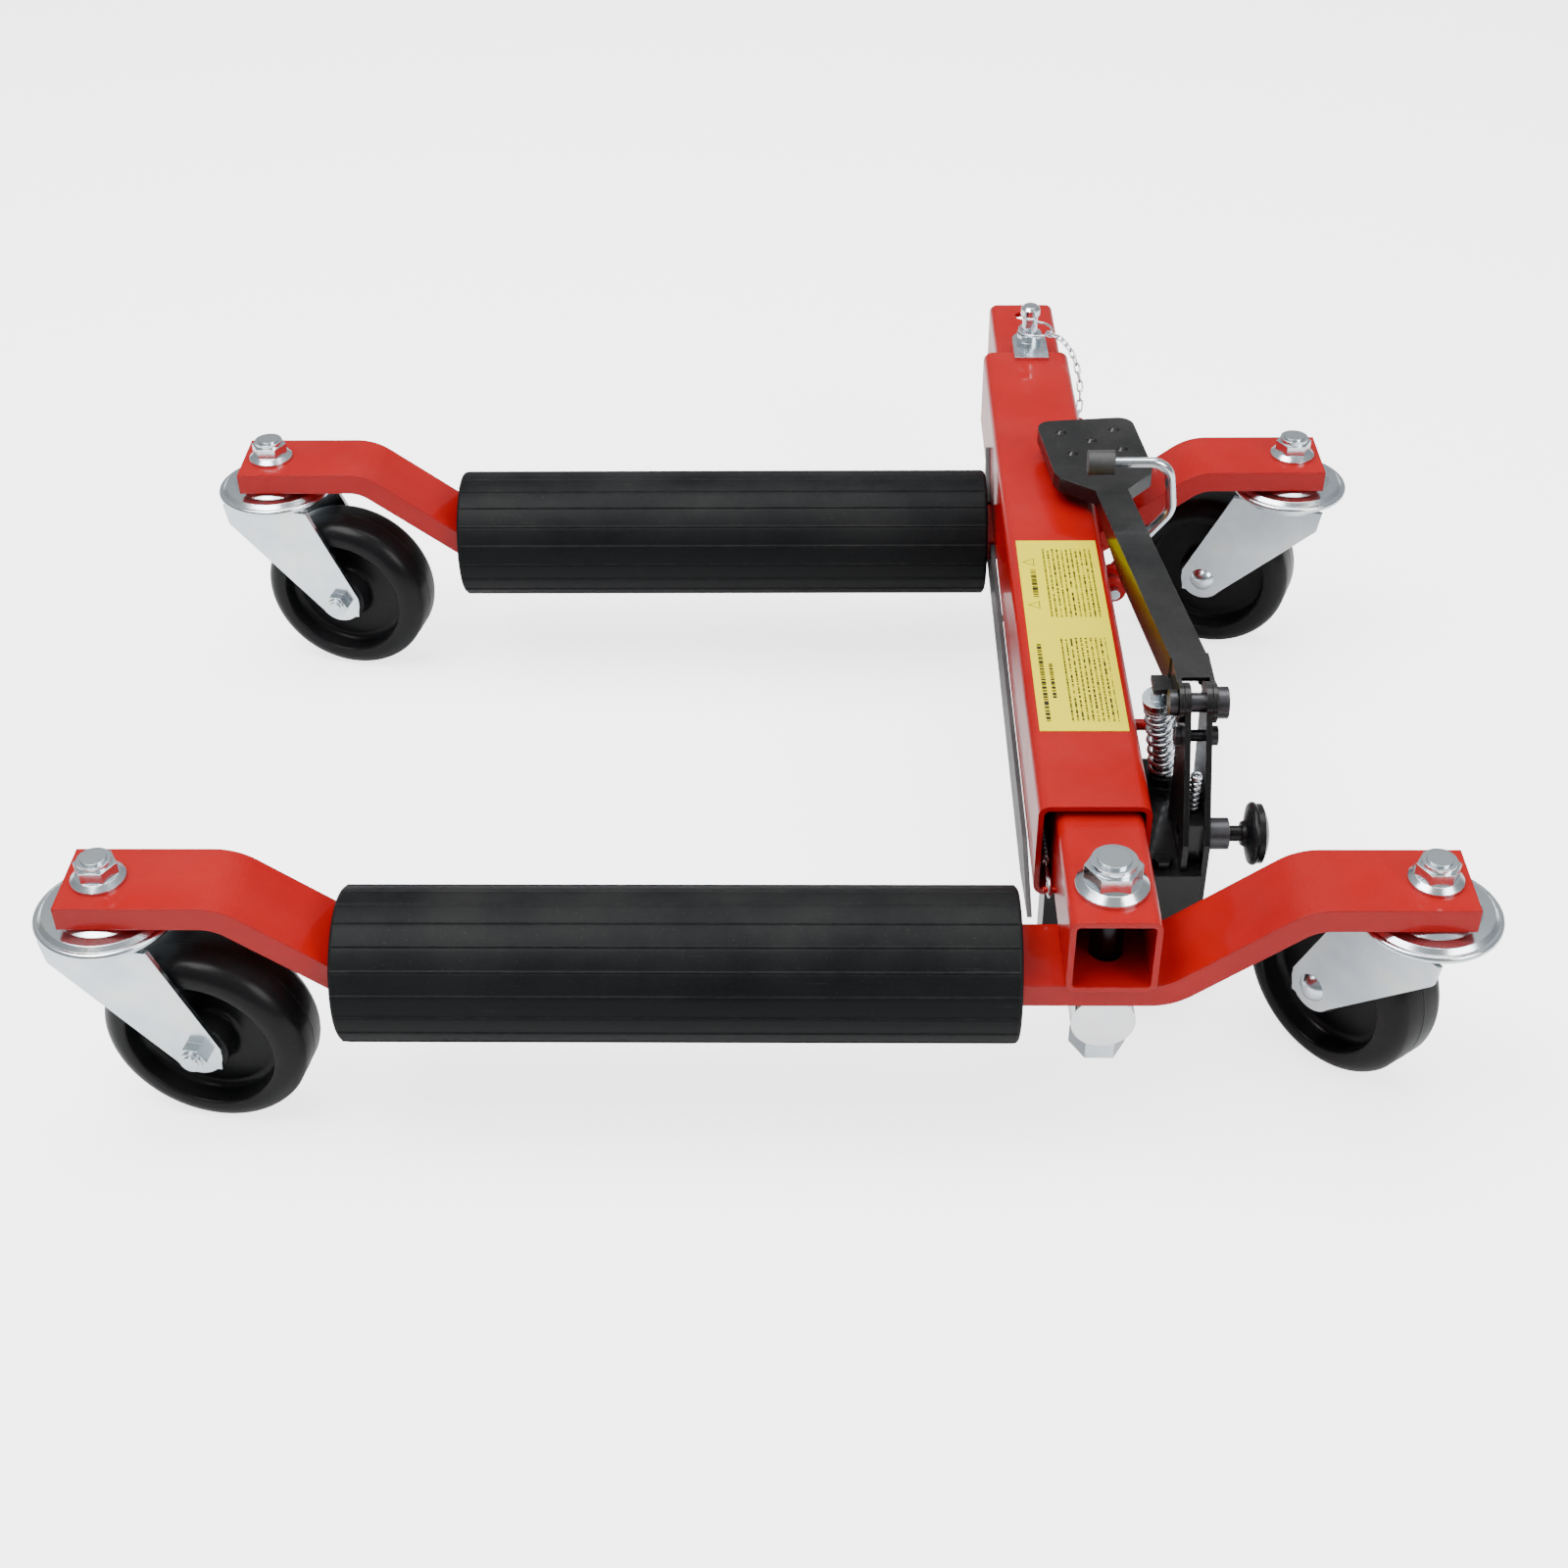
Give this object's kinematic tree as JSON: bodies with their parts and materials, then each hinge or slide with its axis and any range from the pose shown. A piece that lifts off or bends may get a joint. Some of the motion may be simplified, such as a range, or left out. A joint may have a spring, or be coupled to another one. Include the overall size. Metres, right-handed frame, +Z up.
{
  "type": "foot-pumped wheel dolly",
  "caption": "Low red wheel dolly: two roller arms on swivel casters, drawn together under a tyre by a foot-pumped ram.",
  "frame": {"origin": "on the floor under the middle of the bounding box", "axes": "+X along the roller arms towards the pedal side, +Y along the beam away from the sliding arm, +Z up"},
  "size_m": [0.689, 0.654, 0.185],
  "materials": {
    "ball_plastic": "satin",
    "black_oxide": "satin",
    "black_paint": "satin",
    "bush_plastic": "matte",
    "cap_plastic": "matte",
    "chrome": "polished",
    "knob_plastic": "gloss",
    "label": "gloss",
    "red_paint": "gloss",
    "roller_plastic": "satin",
    "spring_steel": "satin",
    "strip_black": "matte",
    "wheel_black": "satin",
    "zinc": "satin"
  },
  "bodies": {
    "frame": {"outer_tube": "red_paint", "tube_lugs": "red_paint", "far_arm_bar": "red_paint", "warning_label": "label", "guard_strip": "strip_black", "ram_barrel": "black_paint", "ram_end_blocks": "black_paint", "return_spring": "spring_steel", "pump_block": "black_paint", "pump_bracket": "black_paint", "plunger_spring": "spring_steel", "valve_spring": "spring_steel", "bracket_tie_bolt": "black_oxide", "pedal_hinge_bolt": "black_oxide", "release_collar": "black_oxide", "pin_ring": "zinc", "pin_guide": "zinc", "pin_chain": "zinc", "far_kingpins": "zinc", "far_kingpin_nuts": "zinc", "far_swivel_races": "zinc"},
    "near_arm": {"inner_tube": "red_paint", "near_arm_bar": "red_paint", "arm_bolt": "zinc", "arm_nut": "zinc", "ram_rod": "chrome", "near_kingpins": "zinc", "near_kingpin_nuts": "zinc", "near_swivel_races": "zinc"},
    "near_roller_turning": {"near_roller": "roller_plastic", "near_roller_bushes": "bush_plastic"},
    "far_roller_turning": {"far_roller": "roller_plastic", "far_roller_bushes": "bush_plastic"},
    "pedal_arm": {"pedal": "black_paint"},
    "plunger": {"pump_plunger": "chrome", "plunger_cap": "zinc"},
    "hook": {"latch_hook": "zinc", "hook_cap": "cap_plastic"},
    "release_screw": {"release_knob": "knob_plastic"},
    "pin": {"lock_pin": "zinc"},
    "near_left_caster": {"near_left_fork": "zinc", "near_left_balls": "ball_plastic", "near_left_axle": "zinc", "near_left_bush": "bush_plastic"},
    "near_left_wheel_turning": {"near_left_wheel": "wheel_black"},
    "near_right_caster": {"near_right_fork": "zinc", "near_right_balls": "ball_plastic", "near_right_axle": "zinc", "near_right_bush": "bush_plastic"},
    "near_right_wheel_turning": {"near_right_wheel": "wheel_black"},
    "far_left_caster": {"far_left_fork": "zinc", "far_left_balls": "ball_plastic", "far_left_axle": "zinc", "far_left_bush": "bush_plastic"},
    "far_left_wheel_turning": {"far_left_wheel": "wheel_black"},
    "far_right_caster": {"far_right_fork": "zinc", "far_right_balls": "ball_plastic", "far_right_axle": "zinc", "far_right_bush": "bush_plastic"},
    "far_right_wheel_turning": {"far_right_wheel": "wheel_black"}
  },
  "joints": [
    {"name": "beam_slide", "type": "slide", "parent": "frame", "child": "near_arm", "axis": [0, 1, 0], "range_m": [-0.23, 0.012], "deforming": ["return_spring"]},
    {"name": "near_roller_spin", "type": "hinge", "parent": "near_arm", "child": "near_roller_turning", "pos_m": [-0.0408, -0.289, 0.08375], "axis": [1, 0, 0], "continuous": true},
    {"name": "far_roller_spin", "type": "hinge", "parent": "frame", "child": "far_roller_turning", "pos_m": [-0.0348, 0.11, 0.08325], "axis": [1, 0, 0], "continuous": true},
    {"name": "pedal_swing", "type": "hinge", "parent": "frame", "child": "pedal_arm", "pos_m": [0.212, -0.181, 0.16], "axis": [1, 0, 0], "range_deg": [0, 24]},
    {"name": "plunger_stroke", "type": "slide", "parent": "frame", "child": "plunger", "axis": [-0.1581, -0.126, 0.9794], "range_m": [0, 0.0085], "stiffness_N_per_m": 600, "springref_m": 0.02, "deforming": ["plunger_spring"]},
    {"name": "hook_swing", "type": "hinge", "parent": "frame", "child": "hook", "pos_m": [0.1944, 0.027, 0.106], "axis": [0, 1, 0], "range_deg": [0, 120]},
    {"name": "release_turn", "type": "hinge", "parent": "frame", "child": "release_screw", "pos_m": [0.236, -0.207, 0.098], "axis": [1, 0, 0], "range_deg": [0, 360]},
    {"name": "lock_pin_lift", "type": "slide", "parent": "frame", "child": "pin", "axis": [0, 0, 1], "range_m": [-0.0075, 0]},
    {"name": "near_left_swivel", "type": "hinge", "parent": "near_arm", "child": "near_left_caster", "pos_m": [-0.31, -0.289, 0.112], "axis": [0, 0, 1], "continuous": true},
    {"name": "near_left_wheel_spin", "type": "hinge", "parent": "near_left_caster", "child": "near_left_wheel_turning", "pos_m": [-0.2695, -0.29541, 0.051], "axis": [0.1564, 0.9877, 0], "continuous": true},
    {"name": "near_right_swivel", "type": "hinge", "parent": "near_arm", "child": "near_right_caster", "pos_m": [0.31, -0.289, 0.112], "axis": [0, 0, 1], "continuous": true},
    {"name": "near_right_wheel_spin", "type": "hinge", "parent": "near_right_caster", "child": "near_right_wheel_turning", "pos_m": [0.28533, -0.25626, 0.051], "axis": [-0.7986, -0.6018, 0], "continuous": true},
    {"name": "far_left_swivel", "type": "hinge", "parent": "frame", "child": "far_left_caster", "pos_m": [-0.31, 0.11, 0.112], "axis": [0, 0, 1], "continuous": true},
    {"name": "far_left_wheel_spin", "type": "hinge", "parent": "far_left_caster", "child": "far_left_wheel_turning", "pos_m": [-0.2699, 0.10148, 0.051], "axis": [0.2079, 0.9781, 0], "continuous": true},
    {"name": "far_right_swivel", "type": "hinge", "parent": "frame", "child": "far_right_caster", "pos_m": [0.31, 0.11, 0.112], "axis": [0, 0, 1], "continuous": true},
    {"name": "far_right_wheel_spin", "type": "hinge", "parent": "far_right_caster", "child": "far_right_wheel_turning", "pos_m": [0.27198, 0.12536, 0.051], "axis": [-0.3746, -0.9272, 0], "continuous": true}
  ],
  "couplings": [
    {"joint": "plunger_stroke", "follows": "pedal_swing", "m_per_rad": 0.0191},
    {"joint": "hook_swing", "follows": "pedal_swing", "ratio": 5}
  ]
}
